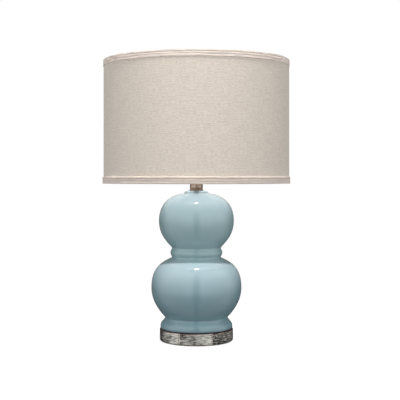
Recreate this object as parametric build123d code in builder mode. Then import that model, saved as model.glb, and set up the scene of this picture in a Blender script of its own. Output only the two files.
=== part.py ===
"""Double gourd table lamp: glazed ceramic body on a silver-leafed wooden disc, harp, drum shade and finial.

Millimetres, +Z up, origin on the resting plane under the lamp's axis, front towards -Y.
The harp stands in the XZ plane, the switch knob points to the front and the cord outlet to the back.
"""
import os
from math import cos, hypot, radians, sin

from build123d import *

os.makedirs("parts", exist_ok=True)


# ------------------------------------------------------------------ driving sizes
# wooden base, its bumpers and the ring that the ceramic sits on
base_r = 74.5
base_thick = 24.4
base_low_edge_r = 4.5
base_top_edge_r = 0.6
bumper_count = 4
bumper_r = 5.0
bumper_proud = 1.0
bumper_sunk = 1.0
bumper_inset = 16.5
well_r = 17.0
well_depth = 9.5
gasket_inset = 0.8
gasket_width = 6.4
gasket_thick = 1.2

# centre pipe and what clamps the base to it
pipe_r = 4.76
pipe_wall = 1.3
pipe_clearance = 0.4
pipe_below_nut = 0.8
pipe_slot_h = 26.0
pipe_slot_length = 15.0
pipe_slot_width = 6.2
washer_r = 13.0
washer_thick = 1.5
lock_washer_r = 8.4
lock_washer_thick = 1.2
nut_across_flats = 14.3
nut_thick = 4.0

# ceramic body: radius and height of each belly and crease, heights from the ceramic's own foot
vase_wall = 5.5
foot_belly_r = 73.4
foot_seat_inset = 1.0
foot_belly_h = 4.2
foot_crease_r = 63.1
foot_crease_h = 21.9
lower_belly_r = 91.5
lower_belly_h = 82.9
waist_crease_r = 49.8
waist_low_h = 142.8
waist_ring_proud = 3.0
waist_band_h = 20.4
upper_belly_r = 76.1
upper_belly_h = 218.0
crown_r = 30.9
crown_h = 271.9
collar_r = 24.4
collar_seat_margin = 0.7
collar_h = 6.6
collar_flare_h = 2.5

# cord outlet at the back of the ceramic foot
outlet_h = 6.9
bushing_bore_r = 3.6
bushing_wall = 1.2
bushing_flange_r = 5.5
bushing_flange_thick = 1.8
bushing_fit = 0.15
spot_face_depth = 3.1

# metal neck
neck_h = 26.0
neck_flare_r = 13.9
neck_waist_r = 12.9
neck_swell_r = 13.3
neck_lip_h = 2.2
neck_pocket_r = 11.0

# harp saddle, harp and its locking ferrules
saddle_thick = 1.6
saddle_width = 12.0
saddle_bend_r = 2.0
post_width = 5.0
post_shoulder_h = 2.1
post_h = 11.0
harp_wire_r = 1.7
harp_leg_x = 26.0
harp_leg_clearance = 0.3
harp_half_width = 57.0
harp_leg_h = 43.0
harp_belly_low_h = 90.0
harp_belly_high_h = 153.0
harp_top_h = 217.0
harp_top_half = 32.0
harp_leg_bend_r = 18.0
harp_belly_bend_r = 60.0
harp_shoulder_bend_r = 24.0
harp_eye_length = 14.0
harp_eye_width = 9.0
ferrule_length = 13.0
ferrule_wall = 0.9
ferrule_clearance = 0.3

# swivelling stud on the harp
stud_shank_r = 2.2
stud_running_fit = 0.06
stud_head_r = 4.0
stud_head_thick = 1.2
stud_seat_r = 9.0
stud_seat_thick = 1.6
stud_post_r = 3.17
stud_post_h = 13.4
stud_end_play = 0.3

# lampholder
socket_cap_r = 17.0
cap_collar_r = 8.5
cap_collar_h = 8.0
cap_dome_h = 7.0
cap_skirt_h = 7.0
socket_wall = 0.8
set_screw_r = 1.4
set_screw_stand = 1.3
shell_overlap = 6.5
shell_h = 45.0
shell_lip = 1.6
insulator_wall = 0.8
key_slot_width = 9.0
socket_body_gap = 0.5
socket_body_h = 20.0
knob_h = 10.0
screw_shell_wall = 0.6
screw_shell_h = 22.0
contact_r = 3.2
contact_thick = 1.6
contact_gap = 0.3
terminal_head_r = 3.0
terminal_head_thick = 2.0
terminal_shank_r = 1.7
terminal_shank_length = 4.0
terminal_notch = 9.0
terminal_notch_depth = 3.6

# turn knob of the switch
shaft_r = 1.6
shaft_running_fit = 0.05
shaft_depth = 9.0
shaft_reach = 12.0
knob_r = 5.8
knob_tip_r = 5.1
knob_length = 14.0
knob_gap = 7.0
knob_flutes = 12
knob_flute_r = 0.9

# bulb, standard screw base
bulb_r = 30.0
bulb_length = 108.0
bulb_cap_r = 12.95
bulb_cap_wall = 0.45
bulb_cap_h = 21.0
bulb_tip_h = 3.0
bulb_button_r = 4.6
bulb_neck_sunk = 3.0
bulb_glass_wall = 0.9

# drum shade
shade_r = 188.0
shade_bottom_h = 319.7
shade_h = 248.3
linen_thick = 0.6
liner_thick = 1.0
ring_wire_r = 1.6
trim_cloth = 0.8
trim_h = 13.5
trim_bead_r = 0.8
bottom_trim_proud = 2.5
top_trim_proud = 1.6
trim_inner_h = 7.0
lap_width = 12.0
lap_thick = 0.5
hub_margin = 2.0
hub_thick = 2.5
hub_clearance = 0.33
spider_arms = 3
arm_wire_r = 1.5
arm_slit_clearance = 0.3
arm_top_run = 11.6
arm_rise_run = 22.0
arm_bend_r = 12.0

# finial
finial_h = 26.0
finial_base_r = 7.5
finial_base_h = 3.0
finial_stem_r = 4.9
finial_ball_r = 8.6
finial_thread_fit = 0.08
finial_bore_spare = 1.6


# ------------------------------------------------------------------ heights and fits that follow
base_bottom_z = bumper_proud
base_top_z = base_bottom_z + base_thick
foot_z = base_top_z + gasket_thick
bumper_circle_r = base_r - bumper_inset
foot_seat_r = foot_belly_r - foot_seat_inset
gasket_outer_r = foot_seat_r - gasket_inset
waist_ring_r = waist_crease_r + waist_ring_proud
waist_high_h = waist_low_h + waist_band_h
collar_top_z = foot_z + crown_h + collar_h
collar_top_r = neck_flare_r + collar_seat_margin
neck_top_z = collar_top_z + neck_h
saddle_top_z = neck_top_z + saddle_thick
pipe_hole_r = pipe_r + pipe_clearance
pipe_top_z = saddle_top_z + cap_collar_h + socket_wall

well_top_z = base_bottom_z + well_depth
washer_z = well_top_z - washer_thick
lock_washer_z = washer_z - lock_washer_thick
nut_z = lock_washer_z - nut_thick
pipe_bottom_z = nut_z - pipe_below_nut

post_inner_x = harp_leg_x + harp_wire_r + harp_leg_clearance
post_outer_x = post_inner_x + saddle_thick
ferrule_x = (harp_leg_x - harp_wire_r + post_outer_x) / 2
ferrule_bore_r = hypot(post_outer_x - ferrule_x, post_width / 2) + ferrule_clearance
ferrule_r = ferrule_bore_r + ferrule_wall
shoulder_z = saddle_top_z + post_shoulder_h
harp_foot_z = shoulder_z
harp_top_z = saddle_top_z + post_shoulder_h + harp_top_h

stud_seat_z = harp_top_z + harp_wire_r + stud_end_play
hub_z = stud_seat_z + stud_seat_thick
hub_r = stud_seat_r + hub_margin
finial_z = hub_z + hub_thick

shell_r = socket_cap_r - socket_wall
shell_inner_r = shell_r - socket_wall
insulator_inner_r = shell_inner_r - insulator_wall
socket_body_r = insulator_inner_r - socket_body_gap
cap_rim_z = saddle_top_z + cap_collar_h + cap_dome_h + cap_skirt_h
shell_z = cap_rim_z - shell_overlap
shell_top_z = shell_z + shell_h
socket_body_top_z = shell_z + socket_body_h
knob_z = shell_z + knob_h
screw_shell_inner_r = socket_body_r - screw_shell_wall
bulb_z = socket_body_top_z + contact_thick + contact_gap
knob_y = -(socket_cap_r + knob_gap)
knob_tip_y = knob_y - knob_length

shade_top_z = shade_bottom_h + shade_h
liner_outer_r = shade_r - linen_thick
liner_inner_r = liner_outer_r - liner_thick
ring_r = liner_inner_r - ring_wire_r
wall_bottom_z = shade_bottom_h + trim_cloth
wall_top_z = shade_top_z - trim_cloth
bottom_ring_z = wall_bottom_z + ring_wire_r
top_ring_z = wall_top_z - ring_wire_r
arm_rise_r = ring_r - arm_top_run - arm_rise_run


def belly_curve(belly, crease, rise, reach, lift):
    """Four control points of a curve that leaves a belly upright and meets a crease.

    belly and crease are (radius, height). rise is the share of the height that the belly keeps upright,
    reach and lift are the shares of the width and height at which the curve turns in to the crease.
    """
    width = belly[0] - crease[0]
    height = crease[1] - belly[1]
    upright = (belly[0], belly[1] + rise * height)
    turn = (crease[0] + reach * width, crease[1] - lift * height)
    return [belly, upright, turn, crease]


def ring_curve(crease, crest):
    """Four control points of a curve that leaves a crease upright and swells out to the crest of a ring."""
    rise = 0.45 * (crest[1] - crease[1])
    return [crease, (crease[0], crease[1] + rise), (crest[0], crest[1] - rise), crest]


# How full each half of a belly is: (rise, reach, lift)
foot_shape = (0.47, 0.39, 0.44)
lower_under = (0.50, 0.34, 0.17)
lower_over = (0.70, 0.42, 0.135)
upper_under = (0.525, 0.43, 0.23)
upper_over = (0.49, 0.69, 0.10)

foot_belly = (foot_belly_r, foot_z + foot_belly_h)
foot_crease = (foot_crease_r, foot_z + foot_crease_h)
lower_belly = (lower_belly_r, foot_z + lower_belly_h)
waist_low = (waist_crease_r, foot_z + waist_low_h)
waist_high = (waist_crease_r, foot_z + waist_high_h)
waist_mid = (waist_ring_r, (waist_low[1] + waist_high[1]) / 2)
upper_belly = (upper_belly_r, foot_z + upper_belly_h)
crown = (crown_r, foot_z + crown_h)
shoulder_slope = upper_over[2] * (crown_h - upper_belly_h) / (upper_over[1] * (upper_belly_r - crown_r))

# The cavity follows the outside one wall further in, and stays further off behind each crease
crease_cover = 0.7 * vase_wall
cavity_foot_r = foot_belly_r - vase_wall
cavity_crease_r = foot_crease_r - vase_wall
cavity_waist_r = waist_crease_r - vase_wall


def inside(point):
    """The point of the cavity that lies one wall inside a belly."""
    return (point[0] - vase_wall, point[1])


# ------------------------------------------------------------------ stand: base
with BuildPart() as base_disc:
    with BuildSketch(Plane.XY.offset(base_bottom_z)):
        Circle(base_r)
    extrude(amount=base_thick)
    rims = base_disc.edges().filter_by(GeomType.CIRCLE).sort_by(Axis.Z)
    fillet(rims[0], base_low_edge_r)
    rims = base_disc.edges().filter_by(GeomType.CIRCLE).sort_by(Axis.Z)
    fillet(rims[-1], base_top_edge_r)
    with BuildSketch(Plane.XY.offset(base_bottom_z)):
        Circle(well_r)
    extrude(amount=well_depth, mode=Mode.SUBTRACT)
    with BuildSketch(Plane.XY.offset(base_bottom_z)):
        Circle(pipe_hole_r)
    extrude(amount=base_thick, mode=Mode.SUBTRACT)
    with BuildSketch(Plane.XY.offset(base_bottom_z)):
        with PolarLocations(bumper_circle_r, bumper_count, start_angle=45):
            Circle(bumper_r)
    extrude(amount=bumper_sunk, mode=Mode.SUBTRACT)
base_disc.part.label = "base_disc"
export_step(base_disc.part, "parts/base_disc.step")

with BuildPart() as base_bumpers:
    with BuildSketch():
        with PolarLocations(bumper_circle_r, bumper_count, start_angle=45):
            Circle(bumper_r)
    extrude(amount=bumper_proud + bumper_sunk)
    fillet(base_bumpers.edges().group_by(Axis.Z)[0], 0.6 * bumper_proud)
base_bumpers.part.label = "base_bumpers"
export_step(base_bumpers.part, "parts/base_bumpers.step")

with BuildPart() as seating_gasket:
    with BuildSketch(Plane.XY.offset(base_top_z)):
        Circle(gasket_outer_r)
        Circle(gasket_outer_r - gasket_width, mode=Mode.SUBTRACT)
    extrude(amount=gasket_thick)
seating_gasket.part.label = "seating_gasket"
export_step(seating_gasket.part, "parts/seating_gasket.step")

# ------------------------------------------------------------------ stand: ceramic body
outlet_z = foot_z + outlet_h
spot_face_y = foot_belly_r - spot_face_depth
bushing_r = bushing_bore_r + bushing_wall

with BuildPart() as ceramic_vase:
    with BuildSketch(Plane.XZ):
        with BuildLine():
            # outside, from the foot up
            Line((cavity_foot_r, foot_z), (foot_seat_r, foot_z))
            ThreePointArc(
                (foot_seat_r, foot_z),
                (foot_belly_r - (foot_belly_r - foot_seat_r) * 0.22, foot_z + foot_belly_h / 2),
                foot_belly,
            )
            Bezier(*belly_curve(foot_belly, foot_crease, *foot_shape))
            Bezier(*reversed(belly_curve(lower_belly, foot_crease, *lower_under)))
            Bezier(*belly_curve(lower_belly, waist_low, *lower_over))
            Bezier(*ring_curve(waist_low, waist_mid))
            Bezier(*reversed(ring_curve(waist_high, waist_mid)))
            Bezier(*reversed(belly_curve(upper_belly, waist_high, *upper_under)))
            Bezier(*belly_curve(upper_belly, crown, *upper_over))
            # the shoulder flares up into a low domed collar with a flat seat for the neck
            collar_run = (crown_r - collar_r) / 2
            collar_edge = (collar_r, crown[1] + collar_flare_h)
            Bezier(
                crown,
                (collar_r + collar_run, crown[1] + collar_run * shoulder_slope),
                (collar_r, crown[1] + 0.3 * collar_flare_h),
                collar_edge,
            )
            Bezier(
                collar_edge,
                (collar_r, collar_top_z - 0.25 * collar_h),
                (collar_top_r + 0.45 * (collar_r - collar_top_r), collar_top_z),
                (collar_top_r, collar_top_z),
            )
            Line((collar_top_r, collar_top_z), (pipe_hole_r, collar_top_z))
            Line((pipe_hole_r, collar_top_z), (pipe_hole_r, crown[1] - vase_wall))
            # cavity, from the crown down
            cavity_crown = (crown_r, crown[1] - vase_wall)
            waist_top_in = (cavity_waist_r, waist_high[1] + crease_cover)
            waist_low_in = (cavity_waist_r, waist_low[1] - crease_cover)
            crease_top_in = (cavity_crease_r, foot_crease[1] + crease_cover)
            crease_low_in = (cavity_crease_r, foot_crease[1] - crease_cover)
            Line((pipe_hole_r, crown[1] - vase_wall), cavity_crown)
            Bezier(*reversed(belly_curve(inside(upper_belly), cavity_crown, *upper_over)))
            Bezier(*belly_curve(inside(upper_belly), waist_top_in, *upper_under))
            Line(waist_top_in, waist_low_in)
            Bezier(*reversed(belly_curve(inside(lower_belly), waist_low_in, *lower_over)))
            Bezier(*belly_curve(inside(lower_belly), crease_top_in, *lower_under))
            Line(crease_top_in, crease_low_in)
            Line(crease_low_in, (cavity_foot_r, foot_belly[1]))
            Line((cavity_foot_r, foot_belly[1]), (cavity_foot_r, foot_z))
        make_face()
    revolve(axis=Axis.Z)
    # cord hole through the back of the foot, with a flat to seat the bushing's flange
    outlet_plane = Plane(origin=(0, spot_face_y, outlet_z), x_dir=(1, 0, 0), z_dir=(0, 1, 0))
    with BuildSketch(outlet_plane):
        Circle(bushing_flange_r + bushing_fit)
    extrude(amount=2 * spot_face_depth, mode=Mode.SUBTRACT)
    with BuildSketch(outlet_plane):
        Circle(bushing_r + bushing_fit)
    extrude(amount=-2 * (vase_wall + spot_face_depth), mode=Mode.SUBTRACT)
ceramic_vase.part.label = "ceramic_vase"
export_step(ceramic_vase.part, "parts/ceramic_vase.step")

# The sleeve reaches just through the wall
bushing_length = spot_face_y - cavity_foot_r + 1.2

with BuildPart() as cord_bushing:
    with BuildSketch(outlet_plane):
        Circle(bushing_flange_r)
    extrude(amount=bushing_flange_thick)
    fillet(cord_bushing.edges().group_by(Axis.Y)[-1], 0.4 * bushing_flange_thick)
    with BuildSketch(outlet_plane):
        Circle(bushing_r)
    extrude(amount=-bushing_length)
    with BuildSketch(outlet_plane.offset(-bushing_length)):
        Circle(bushing_bore_r)
    extrude(amount=bushing_length + bushing_flange_thick, mode=Mode.SUBTRACT)
cord_bushing.part.label = "cord_bushing"
export_step(cord_bushing.part, "parts/cord_bushing.step")

# ------------------------------------------------------------------ stand: pipe and clamping hardware
with BuildPart() as lamp_pipe:
    with BuildSketch(Plane.XY.offset(pipe_bottom_z)):
        Circle(pipe_r)
        Circle(pipe_r - pipe_wall, mode=Mode.SUBTRACT)
    extrude(amount=pipe_top_z - pipe_bottom_z)
    # slot in the back of the pipe, inside the body, where the wires turn up
    slot_plane = Plane(origin=(0, 0, foot_z + pipe_slot_h), x_dir=(1, 0, 0), z_dir=(0, 1, 0))
    with BuildSketch(slot_plane):
        SlotOverall(pipe_slot_length, pipe_slot_width, rotation=90)
    extrude(amount=2 * pipe_r, mode=Mode.SUBTRACT)
lamp_pipe.part.label = "lamp_pipe"
export_step(lamp_pipe.part, "parts/lamp_pipe.step")

with BuildPart() as base_washer:
    with BuildSketch(Plane.XY.offset(washer_z)):
        Circle(washer_r)
        Circle(pipe_hole_r, mode=Mode.SUBTRACT)
    extrude(amount=washer_thick)
base_washer.part.label = "base_washer"
export_step(base_washer.part, "parts/base_washer.step")

with BuildPart() as lock_washer:
    with BuildSketch(Plane.XY.offset(lock_washer_z)):
        Circle(lock_washer_r)
        Circle(pipe_hole_r, mode=Mode.SUBTRACT)
        with Locations((lock_washer_r, 0)):
            Rectangle(2 * (lock_washer_r - pipe_hole_r) + 1, lock_washer_thick, mode=Mode.SUBTRACT)
    extrude(amount=lock_washer_thick)
lock_washer.part.label = "lock_washer"
export_step(lock_washer.part, "parts/lock_washer.step")

with BuildPart() as base_nut:
    with BuildSketch(Plane.XY.offset(nut_z)):
        RegularPolygon(nut_across_flats / 2, 6, major_radius=False)
        Circle(pipe_r, mode=Mode.SUBTRACT)
    extrude(amount=nut_thick)
base_nut.part.label = "base_nut"
export_step(base_nut.part, "parts/base_nut.step")

# ------------------------------------------------------------------ stand: neck and saddle
neck_mid_z = (collar_top_z + neck_top_z) / 2

with BuildPart() as neck:
    with BuildSketch(Plane.XZ):
        with BuildLine():
            low_lip = collar_top_z + neck_lip_h
            high_lip = neck_top_z - neck_lip_h
            low_waist = (neck_waist_r, (low_lip + neck_mid_z) / 2)
            high_waist = (neck_waist_r, (high_lip + neck_mid_z) / 2)
            Line((neck_pocket_r, collar_top_z), (neck_flare_r, collar_top_z))
            Line((neck_flare_r, collar_top_z), (neck_flare_r, low_lip))
            Spline(
                (neck_flare_r, low_lip),
                low_waist,
                (neck_swell_r, neck_mid_z),
                high_waist,
                (neck_flare_r, high_lip),
                tangents=[(-1, 0.6), (1, 0.6)],
            )
            Line((neck_flare_r, high_lip), (neck_flare_r, neck_top_z))
            Line((neck_flare_r, neck_top_z), (pipe_hole_r, neck_top_z))
            Line((pipe_hole_r, neck_top_z), (pipe_hole_r, high_lip))
            Line((pipe_hole_r, high_lip), (neck_pocket_r, high_lip))
            Line((neck_pocket_r, high_lip), (neck_pocket_r, collar_top_z))
        make_face()
    revolve(axis=Axis.Z)
    lips = neck.edges().filter_by(GeomType.CIRCLE).filter_by(
        lambda edge: abs(edge.radius - neck_flare_r) < 0.01
    )
    outer_lips = [lips.sort_by(Axis.Z)[0], lips.sort_by(Axis.Z)[-1]]
    fillet(outer_lips, 0.3 * neck_lip_h)
neck.part.label = "neck"
export_step(neck.part, "parts/neck.step")

with BuildPart() as harp_saddle:
    with BuildSketch(Plane.XZ):
        with BuildLine():
            centre_x = post_inner_x + saddle_thick / 2
            centre_z = neck_top_z + saddle_thick / 2
            post_top_z = shoulder_z + post_h
            FilletPolyline(
                (-centre_x, post_top_z),
                (-centre_x, centre_z),
                (centre_x, centre_z),
                (centre_x, post_top_z),
                radius=saddle_bend_r + saddle_thick / 2,
            )
            offset(amount=saddle_thick / 2, side=Side.BOTH, closed=True)
        make_face()
    extrude(amount=saddle_width / 2, both=True)
    with BuildSketch(Plane.XY.offset(shoulder_z)):
        with GridLocations(0, saddle_width, 1, 2):
            Rectangle(3 * centre_x, saddle_width - post_width)
    extrude(amount=2 * post_h, mode=Mode.SUBTRACT)
    with BuildSketch(Plane.XY.offset(neck_top_z)):
        Circle(pipe_hole_r)
    extrude(amount=saddle_thick, mode=Mode.SUBTRACT)
harp_saddle.part.label = "harp_saddle"
export_step(harp_saddle.part, "parts/harp_saddle.step")

# ------------------------------------------------------------------ stand: lampholder
cap_shoulder_z = saddle_top_z + cap_collar_h
cap_dome_z = cap_shoulder_z + cap_dome_h
set_screw_z = saddle_top_z + cap_collar_h / 2


def cap_dome(start_r, start_z, end_r):
    """Control points of the cap's dome, from its collar out and up to the skirt."""
    rise = cap_dome_z - start_z
    flat = (start_r + 0.55 * (end_r - start_r), start_z)
    upright = (end_r, start_z + 0.35 * rise)
    return [(start_r, start_z), flat, upright, (end_r, cap_dome_z)]


with BuildPart() as socket_cap:
    with BuildSketch(Plane.XZ):
        with BuildLine():
            Polyline(
                (pipe_r, pipe_top_z),
                (pipe_r, saddle_top_z),
                (cap_collar_r, saddle_top_z),
                (cap_collar_r, cap_shoulder_z),
            )
            Bezier(*cap_dome(cap_collar_r, cap_shoulder_z, socket_cap_r))
            Polyline(
                (socket_cap_r, cap_dome_z),
                (socket_cap_r, cap_rim_z),
                (shell_r, cap_rim_z),
                (shell_r, cap_dome_z),
            )
            Bezier(*reversed(cap_dome(cap_collar_r, pipe_top_z, shell_r)))
            Line((cap_collar_r, pipe_top_z), (pipe_r, pipe_top_z))
        make_face()
    revolve(axis=Axis.Z)
    with BuildSketch(Plane.YZ):
        with Locations((0, set_screw_z)):
            Circle(set_screw_r)
    extrude(amount=2 * cap_collar_r, mode=Mode.SUBTRACT)
socket_cap.part.label = "socket_cap"
export_step(socket_cap.part, "parts/socket_cap.step")

with BuildPart() as cap_set_screw:
    with BuildSketch(Plane.YZ.offset(pipe_r)):
        with Locations((0, set_screw_z)):
            Circle(set_screw_r)
    extrude(amount=cap_collar_r + set_screw_stand - pipe_r)
cap_set_screw.part.label = "cap_set_screw"
export_step(cap_set_screw.part, "parts/cap_set_screw.step")

key_slot_h = knob_h + key_slot_width / 2

with BuildPart() as socket_shell:
    with BuildSketch(Plane.XZ):
        with BuildLine():
            Polyline(
                (shell_inner_r, shell_z),
                (shell_r, shell_z),
                (shell_r, shell_top_z),
                (shell_r - shell_lip, shell_top_z),
                (shell_r - shell_lip, shell_top_z - socket_wall),
                (shell_inner_r, shell_top_z - socket_wall),
                close=True,
            )
        make_face()
    revolve(axis=Axis.Z)
    # open slot for the switch shaft, cut from the lower edge
    with BuildSketch(Plane.XZ):
        with Locations((0, shell_z)):
            SlotOverall(2 * key_slot_h, key_slot_width, rotation=90)
    extrude(amount=2 * shell_r, mode=Mode.SUBTRACT)
socket_shell.part.label = "socket_shell"
export_step(socket_shell.part, "parts/socket_shell.step")

with BuildPart() as shell_insulator:
    with BuildSketch(Plane.XY.offset(shell_z)):
        Circle(shell_inner_r)
        Circle(insulator_inner_r, mode=Mode.SUBTRACT)
    extrude(amount=shell_h - socket_wall)
    # open slot for the switch shaft, cut from the lower edge
    with BuildSketch(Plane.XZ):
        with Locations((0, shell_z)):
            SlotOverall(2 * key_slot_h, key_slot_width, rotation=90)
    extrude(amount=2 * shell_r, mode=Mode.SUBTRACT)
shell_insulator.part.label = "shell_insulator"
export_step(shell_insulator.part, "parts/shell_insulator.step")

notch_x = socket_body_r - terminal_notch_depth

with BuildPart() as socket_body:
    with BuildSketch(Plane.XY.offset(shell_z)):
        Circle(socket_body_r)
    extrude(amount=socket_body_h)
    with BuildSketch(Plane.XZ.offset(socket_body_r - shaft_depth)):
        with Locations((0, knob_z)):
            Circle(shaft_r + shaft_running_fit)
    extrude(amount=2 * socket_body_r, mode=Mode.SUBTRACT)
    for side in (-1, 1):
        with BuildSketch(Plane.YZ.offset(side * notch_x)):
            with Locations((0, knob_z)):
                Rectangle(terminal_notch, terminal_notch)
        extrude(amount=side * 2 * terminal_notch_depth, mode=Mode.SUBTRACT)
        with BuildSketch(Plane.YZ.offset(side * notch_x)):
            with Locations((0, knob_z)):
                Circle(terminal_shank_r)
        extrude(amount=-side * terminal_shank_length, mode=Mode.SUBTRACT)
socket_body.part.label = "socket_body"
export_step(socket_body.part, "parts/socket_body.step")

with BuildPart() as terminal_screws:
    for side in (-1, 1):
        with BuildSketch(Plane.YZ.offset(side * notch_x)):
            with Locations((0, knob_z)):
                Circle(terminal_head_r)
        extrude(amount=side * terminal_head_thick)
        with BuildSketch(Plane.YZ.offset(side * notch_x)):
            with Locations((0, knob_z)):
                Circle(terminal_shank_r)
        extrude(amount=-side * terminal_shank_length)
terminal_screws.part.label = "terminal_screws"
export_step(terminal_screws.part, "parts/terminal_screws.step")

with BuildPart() as screw_shell:
    with BuildSketch(Plane.XY.offset(socket_body_top_z)):
        Circle(socket_body_r)
        Circle(screw_shell_inner_r, mode=Mode.SUBTRACT)
    extrude(amount=screw_shell_h)
screw_shell.part.label = "screw_shell"
export_step(screw_shell.part, "parts/screw_shell.step")

with BuildPart() as centre_contact:
    with BuildSketch(Plane.XY.offset(socket_body_top_z)):
        Circle(contact_r)
    extrude(amount=contact_thick)
    fillet(centre_contact.edges().group_by(Axis.Z)[-1], 0.4 * contact_thick)
centre_contact.part.label = "centre_contact"
export_step(centre_contact.part, "parts/centre_contact.step")

# ------------------------------------------------------------------ switch knob
with BuildPart() as switch_shaft:
    with BuildSketch(Plane.XZ.offset(socket_body_r - shaft_depth)):
        with Locations((0, knob_z)):
            Circle(shaft_r)
    extrude(amount=-knob_y + shaft_reach - socket_body_r + shaft_depth)
switch_shaft.part.label = "switch_shaft"
export_step(switch_shaft.part, "parts/switch_shaft.step")

with BuildPart() as switch_knob:
    with BuildSketch(Plane.XZ.offset(-knob_y)):
        with Locations((0, knob_z)):
            Circle(knob_r)
    with BuildSketch(Plane.XZ.offset(-knob_tip_y)):
        with Locations((0, knob_z)):
            Circle(knob_tip_r)
    loft()
    fillet(switch_knob.edges().group_by(Axis.Y)[0], 0.25 * knob_tip_r)
    with BuildSketch(Plane.XZ.offset(-knob_y)):
        with Locations((0, knob_z)):
            with PolarLocations(knob_r, knob_flutes):
                Circle(knob_flute_r)
    extrude(amount=0.8 * knob_length, mode=Mode.SUBTRACT)
    with BuildSketch(Plane.XZ.offset(-knob_y)):
        with Locations((0, knob_z)):
            Circle(shaft_r)
    extrude(amount=shaft_reach, mode=Mode.SUBTRACT)
switch_knob.part.label = "switch_knob"
export_step(switch_knob.part, "parts/switch_knob.step")

# ------------------------------------------------------------------ bulb
bulb_cap_z = bulb_z + bulb_tip_h
bulb_cap_top_z = bulb_cap_z + bulb_cap_h
bulb_neck_r = bulb_cap_r - bulb_cap_wall
bulb_neck_z = bulb_cap_top_z - bulb_neck_sunk
bulb_top_z = bulb_z + bulb_length
bulb_belly_z = bulb_top_z - bulb_r
glass_inner_r = bulb_r - bulb_glass_wall
glass_neck_r = bulb_neck_r - bulb_glass_wall

with BuildPart() as bulb_glass:
    with BuildSketch(Plane.XZ):
        with BuildLine():
            neck_top = (bulb_neck_r, bulb_cap_top_z)
            belly = (bulb_r, bulb_belly_z)
            Line((glass_neck_r, bulb_neck_z), (bulb_neck_r, bulb_neck_z))
            Line((bulb_neck_r, bulb_neck_z), neck_top)
            neck_rise = bulb_belly_z - bulb_cap_top_z
            Bezier(
                neck_top,
                (bulb_neck_r, bulb_cap_top_z + 0.35 * neck_rise),
                (bulb_r, bulb_belly_z - 0.45 * neck_rise),
                belly,
            )
            RadiusArc(belly, (0, bulb_top_z), -bulb_r, short_sagitta=True)
            Line((0, bulb_top_z), (0, bulb_top_z - bulb_glass_wall))
            RadiusArc((0, bulb_top_z - bulb_glass_wall), (glass_inner_r, bulb_belly_z), glass_inner_r)
            Bezier(
                (glass_inner_r, bulb_belly_z),
                (glass_inner_r, bulb_belly_z - 0.45 * neck_rise),
                (glass_neck_r, bulb_cap_top_z + 0.35 * neck_rise),
                (glass_neck_r, bulb_cap_top_z),
            )
            Line((glass_neck_r, bulb_cap_top_z), (glass_neck_r, bulb_neck_z))
        make_face()
    revolve(axis=Axis.Z)
bulb_glass.part.label = "bulb_glass"
export_step(bulb_glass.part, "parts/bulb_glass.step")

with BuildPart() as bulb_cap:
    with BuildSketch(Plane.XY.offset(bulb_cap_z)):
        Circle(bulb_cap_r)
    extrude(amount=bulb_cap_h)
    with BuildSketch(Plane.XY.offset(bulb_cap_z + bulb_cap_wall)):
        Circle(bulb_neck_r)
    extrude(amount=bulb_cap_h, mode=Mode.SUBTRACT)
bulb_cap.part.label = "bulb_cap"
export_step(bulb_cap.part, "parts/bulb_cap.step")

with BuildPart() as bulb_contact:
    with BuildSketch(Plane.XY.offset(bulb_z)):
        Circle(bulb_button_r)
    with BuildSketch(Plane.XY.offset(bulb_cap_z)):
        Circle(0.75 * bulb_cap_r)
    loft()
bulb_contact.part.label = "bulb_contact"
export_step(bulb_contact.part, "parts/bulb_contact.step")

# ------------------------------------------------------------------ harp, ferrules and stud
with BuildPart() as harp:
    with BuildLine(Plane.XZ) as harp_line:
        half_outline = [
            (harp_leg_x, harp_foot_z),
            (harp_leg_x, harp_foot_z + harp_leg_h),
            (harp_half_width, harp_foot_z + harp_belly_low_h),
            (harp_half_width, harp_foot_z + harp_belly_high_h),
            (harp_top_half, harp_top_z),
        ]
        other_half = [(-x, z) for x, z in reversed(half_outline)]
        bends = [harp_leg_bend_r, harp_belly_bend_r, harp_belly_bend_r, harp_shoulder_bend_r]
        FilletPolyline(*half_outline, *other_half, radius=bends + list(reversed(bends)))
    with BuildSketch(Plane(origin=(harp_leg_x, 0, harp_foot_z), z_dir=(0, 0, 1))):
        Circle(harp_wire_r)
    sweep(path=harp_line.line)
    with BuildSketch(Plane.XY.offset(harp_top_z - harp_wire_r)):
        RectangleRounded(harp_eye_length, harp_eye_width, 0.3 * harp_eye_width)
    extrude(amount=2 * harp_wire_r)
    with BuildSketch(Plane.XY.offset(harp_top_z - harp_wire_r)):
        Circle(stud_shank_r + stud_running_fit)
    extrude(amount=2 * harp_wire_r, mode=Mode.SUBTRACT)
harp.part.label = "harp"
export_step(harp.part, "parts/harp.step")


def build_ferrule(name, side):
    """Make and write the sleeve that locks one leg of the harp to its post."""
    with BuildPart() as sleeve:
        with BuildSketch(Plane.XY.offset(shoulder_z)):
            with Locations((side * ferrule_x, 0)):
                Circle(ferrule_r)
                Circle(ferrule_bore_r, mode=Mode.SUBTRACT)
        extrude(amount=ferrule_length)
        outer_rims = sleeve.edges().filter_by(
            lambda edge: edge.geom_type == GeomType.CIRCLE and abs(edge.radius - ferrule_r) < 0.01
        )
        fillet(outer_rims, 0.4 * ferrule_wall)
    sleeve.part.label = name
    export_step(sleeve.part, "parts/" + name + ".step")


build_ferrule("ferrule_left", -1)
build_ferrule("ferrule_right", 1)

stud_bottom_z = harp_top_z - harp_wire_r - stud_end_play

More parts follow.
